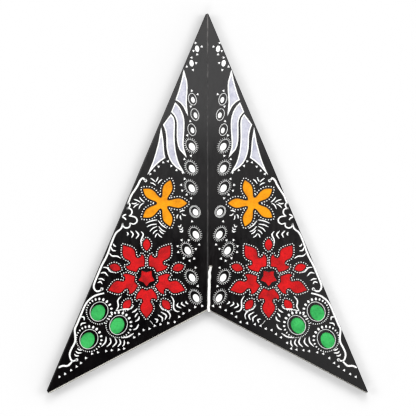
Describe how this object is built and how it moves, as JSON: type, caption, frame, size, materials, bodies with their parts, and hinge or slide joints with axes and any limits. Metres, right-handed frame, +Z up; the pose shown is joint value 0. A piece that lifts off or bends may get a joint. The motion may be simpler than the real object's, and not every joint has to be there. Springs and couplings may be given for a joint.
{
  "type": "folding paper star lantern",
  "caption": "Folding cut-paper star lantern, stored flat as a stack of arrowhead arms; coupled fold hinges open it into a hollow pointed star with tissue windows.",
  "frame": {"origin": "centre of the folded star's footprint, on the surface that it lies on", "axes": "+Y from the notch towards the point of the star, along the side crease; +X across, towards the half whose ridges and valleys are glued with tabs; +Z up through the stack of folded arms"},
  "size_m": [0.2536, 0.3028, 0.009],
  "materials": {
    "card_ink": "satin black print on white card of 0.4 mm, folded, with white linework",
    "card_tab": "the same card, matt, glued",
    "tissue": "thin translucent tissue in pale lavender, orange, red and green, slightly crinkled",
    "cotton": "white braided cotton"
  },
  "bodies": {
    "arm_1_low_front": {"arm_1_low_front_card": "card_ink", "arm_1_low_front_tissue": "tissue"},
    "arm_1_low_back": {"arm_1_low_back_card": "card_ink", "arm_1_low_back_tissue": "tissue"},
    "arm_1_up_front": {"arm_1_up_front_card": "card_ink", "arm_1_up_front_tissue": "tissue"},
    "arm_1_up_back": {"arm_1_up_back_card": "card_ink", "arm_1_up_back_tissue": "tissue", "arm_1_ridge_tab": "card_tab"},
    "arm_2_low_front": {"arm_2_low_front_card": "card_ink", "arm_2_low_front_tissue": "tissue", "arm_2_front_valley_tab": "card_tab"},
    "arm_2_low_back": {"arm_2_low_back_card": "card_ink", "arm_2_low_back_tissue": "tissue", "arm_2_back_valley_tab": "card_tab"},
    "arm_2_up_front": {"arm_2_up_front_card": "card_ink", "arm_2_up_front_tissue": "tissue"},
    "arm_2_up_back": {"arm_2_up_back_card": "card_ink", "arm_2_up_back_tissue": "tissue", "arm_2_ridge_tab": "card_tab"},
    "arm_3_low_front": {"arm_3_low_front_card": "card_ink", "arm_3_low_front_tissue": "tissue", "arm_3_front_valley_tab": "card_tab"},
    "arm_3_low_back": {"arm_3_low_back_card": "card_ink", "arm_3_low_back_tissue": "tissue", "arm_3_back_valley_tab": "card_tab"},
    "arm_3_up_front": {"arm_3_up_front_card": "card_ink", "arm_3_up_front_tissue": "tissue"},
    "arm_3_up_back": {"arm_3_up_back_card": "card_ink", "arm_3_up_back_tissue": "tissue", "arm_3_ridge_tab": "card_tab"},
    "arm_4_low_front": {"arm_4_low_front_card": "card_ink", "arm_4_low_front_tissue": "tissue", "arm_4_front_valley_tab": "card_tab"},
    "arm_4_low_back": {"arm_4_low_back_card": "card_ink", "arm_4_low_back_tissue": "tissue", "arm_4_back_valley_tab": "card_tab"},
    "arm_4_up_front": {"arm_4_up_front_card": "card_ink", "arm_4_up_front_tissue": "tissue"},
    "arm_4_up_back": {"arm_4_up_back_card": "card_ink", "arm_4_up_back_tissue": "tissue", "arm_4_ridge_tab": "card_tab"},
    "arm_5_low_front": {"arm_5_low_front_card": "card_ink", "arm_5_low_front_tissue": "tissue", "arm_5_front_valley_tab": "card_tab"},
    "arm_5_low_back": {"arm_5_low_back_card": "card_ink", "arm_5_low_back_tissue": "tissue", "arm_5_back_valley_tab": "card_tab"},
    "arm_5_up_front": {"arm_5_up_front_card": "card_ink", "arm_5_up_front_tissue": "tissue"},
    "arm_5_up_back": {"arm_5_up_back_card": "card_ink", "arm_5_up_back_tissue": "tissue", "arm_5_ridge_tab": "card_tab", "notch_tie": "cotton"}
  },
  "joints": [
    {"name": "arm_1_ridge", "type": "hinge", "parent": "arm_1_low_front", "child": "arm_1_up_front", "pos_m": [0, 0.15264, 0.0007], "axis": [-0.3857, -0.9226, 0], "range_deg": [0, 86.65]},
    {"name": "arm_2_ridge", "type": "hinge", "parent": "arm_2_low_front", "child": "arm_2_up_front", "pos_m": [0, 0.15264, 0.0023], "axis": [-0.3857, -0.9226, 0], "range_deg": [0, 86.7]},
    {"name": "arm_3_ridge", "type": "hinge", "parent": "arm_3_low_front", "child": "arm_3_up_front", "pos_m": [0, 0.15264, 0.0039], "axis": [-0.3857, -0.9226, 0], "range_deg": [0, 86.7]},
    {"name": "arm_4_ridge", "type": "hinge", "parent": "arm_4_low_front", "child": "arm_4_up_front", "pos_m": [0, 0.15264, 0.0055], "axis": [-0.3857, -0.9226, 0], "range_deg": [0, 86.7]},
    {"name": "arm_5_ridge", "type": "hinge", "parent": "arm_5_low_front", "child": "arm_5_up_front", "pos_m": [0, 0.15264, 0.0071], "axis": [-0.3857, -0.9226, 0], "range_deg": [0, 86.7]},
    {"name": "valley_1_2", "type": "hinge", "parent": "arm_1_up_front", "child": "arm_2_low_front", "pos_m": [0, -0.08536, 0.0015], "axis": [0.8854, 0.4648, 0], "range_deg": [0, 123.85]},
    {"name": "valley_2_3", "type": "hinge", "parent": "arm_2_up_front", "child": "arm_3_low_front", "pos_m": [0, -0.08536, 0.0031], "axis": [0.8854, 0.4648, 0], "range_deg": [0, 123.85]},
    {"name": "valley_3_4", "type": "hinge", "parent": "arm_3_up_front", "child": "arm_4_low_front", "pos_m": [0, -0.08536, 0.0047], "axis": [0.8854, 0.4648, 0], "range_deg": [0, 123.85]},
    {"name": "valley_4_5", "type": "hinge", "parent": "arm_4_up_front", "child": "arm_5_low_front", "pos_m": [0, -0.08536, 0.0063], "axis": [0.8854, 0.4648, 0], "range_deg": [0, 123.85]},
    {"name": "arm_1_low_crease", "type": "hinge", "parent": "arm_1_low_front", "child": "arm_1_low_back", "pos_m": [0, -0.08536, 0], "axis": [0, -1, 0], "range_deg": [0, 82.15]},
    {"name": "arm_1_up_crease", "type": "hinge", "parent": "arm_1_up_front", "child": "arm_1_up_back", "pos_m": [0, -0.08536, 0.0014], "axis": [0, 1, 0], "range_deg": [0, 82.15]},
    {"name": "arm_2_low_crease", "type": "hinge", "parent": "arm_2_low_front", "child": "arm_2_low_back", "pos_m": [0, -0.08536, 0.0016], "axis": [0, -1, 0], "range_deg": [0, 82.15]},
    {"name": "arm_2_up_crease", "type": "hinge", "parent": "arm_2_up_front", "child": "arm_2_up_back", "pos_m": [0, -0.08536, 0.003], "axis": [0, 1, 0], "range_deg": [0, 82.15]},
    {"name": "arm_3_low_crease", "type": "hinge", "parent": "arm_3_low_front", "child": "arm_3_low_back", "pos_m": [0, -0.08536, 0.0032], "axis": [0, -1, 0], "range_deg": [0, 82.15]},
    {"name": "arm_3_up_crease", "type": "hinge", "parent": "arm_3_up_front", "child": "arm_3_up_back", "pos_m": [0, -0.08536, 0.0046], "axis": [0, 1, 0], "range_deg": [0, 82.15]},
    {"name": "arm_4_low_crease", "type": "hinge", "parent": "arm_4_low_front", "child": "arm_4_low_back", "pos_m": [0, -0.08536, 0.0048], "axis": [0, -1, 0], "range_deg": [0, 82.15]},
    {"name": "arm_4_up_crease", "type": "hinge", "parent": "arm_4_up_front", "child": "arm_4_up_back", "pos_m": [0, -0.08536, 0.0062], "axis": [0, 1, 0], "range_deg": [0, 82.15]},
    {"name": "arm_5_low_crease", "type": "hinge", "parent": "arm_5_low_front", "child": "arm_5_low_back", "pos_m": [0, -0.08536, 0.0064], "axis": [0, -1, 0], "range_deg": [0, 82.15]},
    {"name": "arm_5_up_crease", "type": "hinge", "parent": "arm_5_up_front", "child": "arm_5_up_back", "pos_m": [0, -0.08536, 0.0078], "axis": [0, 1, 0], "range_deg": [0, 82.15]}
  ],
  "couplings": [
    {"joint": "arm_2_ridge", "follows": "arm_1_ridge", "ratio": 1},
    {"joint": "arm_3_ridge", "follows": "arm_1_ridge", "ratio": 1},
    {"joint": "arm_4_ridge", "follows": "arm_1_ridge", "ratio": 1},
    {"joint": "arm_5_ridge", "follows": "arm_1_ridge", "ratio": 1},
    {"joint": "valley_1_2", "follows": "arm_1_ridge", "ratio": 1.4285},
    {"joint": "valley_2_3", "follows": "arm_1_ridge", "ratio": 1.4285},
    {"joint": "valley_3_4", "follows": "arm_1_ridge", "ratio": 1.4285},
    {"joint": "valley_4_5", "follows": "arm_1_ridge", "ratio": 1.4285},
    {"joint": "arm_1_low_crease", "follows": "arm_1_ridge", "ratio": 0.94701},
    {"joint": "arm_1_up_crease", "follows": "arm_1_ridge", "ratio": 0.94701},
    {"joint": "arm_2_low_crease", "follows": "arm_1_ridge", "ratio": 0.94701},
    {"joint": "arm_2_up_crease", "follows": "arm_1_ridge", "ratio": 0.94701},
    {"joint": "arm_3_low_crease", "follows": "arm_1_ridge", "ratio": 0.94701},
    {"joint": "arm_3_up_crease", "follows": "arm_1_ridge", "ratio": 0.94701},
    {"joint": "arm_4_low_crease", "follows": "arm_1_ridge", "ratio": 0.94701},
    {"joint": "arm_4_up_crease", "follows": "arm_1_ridge", "ratio": 0.94701},
    {"joint": "arm_5_low_crease", "follows": "arm_1_ridge", "ratio": 0.94701},
    {"joint": "arm_5_up_crease", "follows": "arm_1_ridge", "ratio": 0.94701}
  ]
}
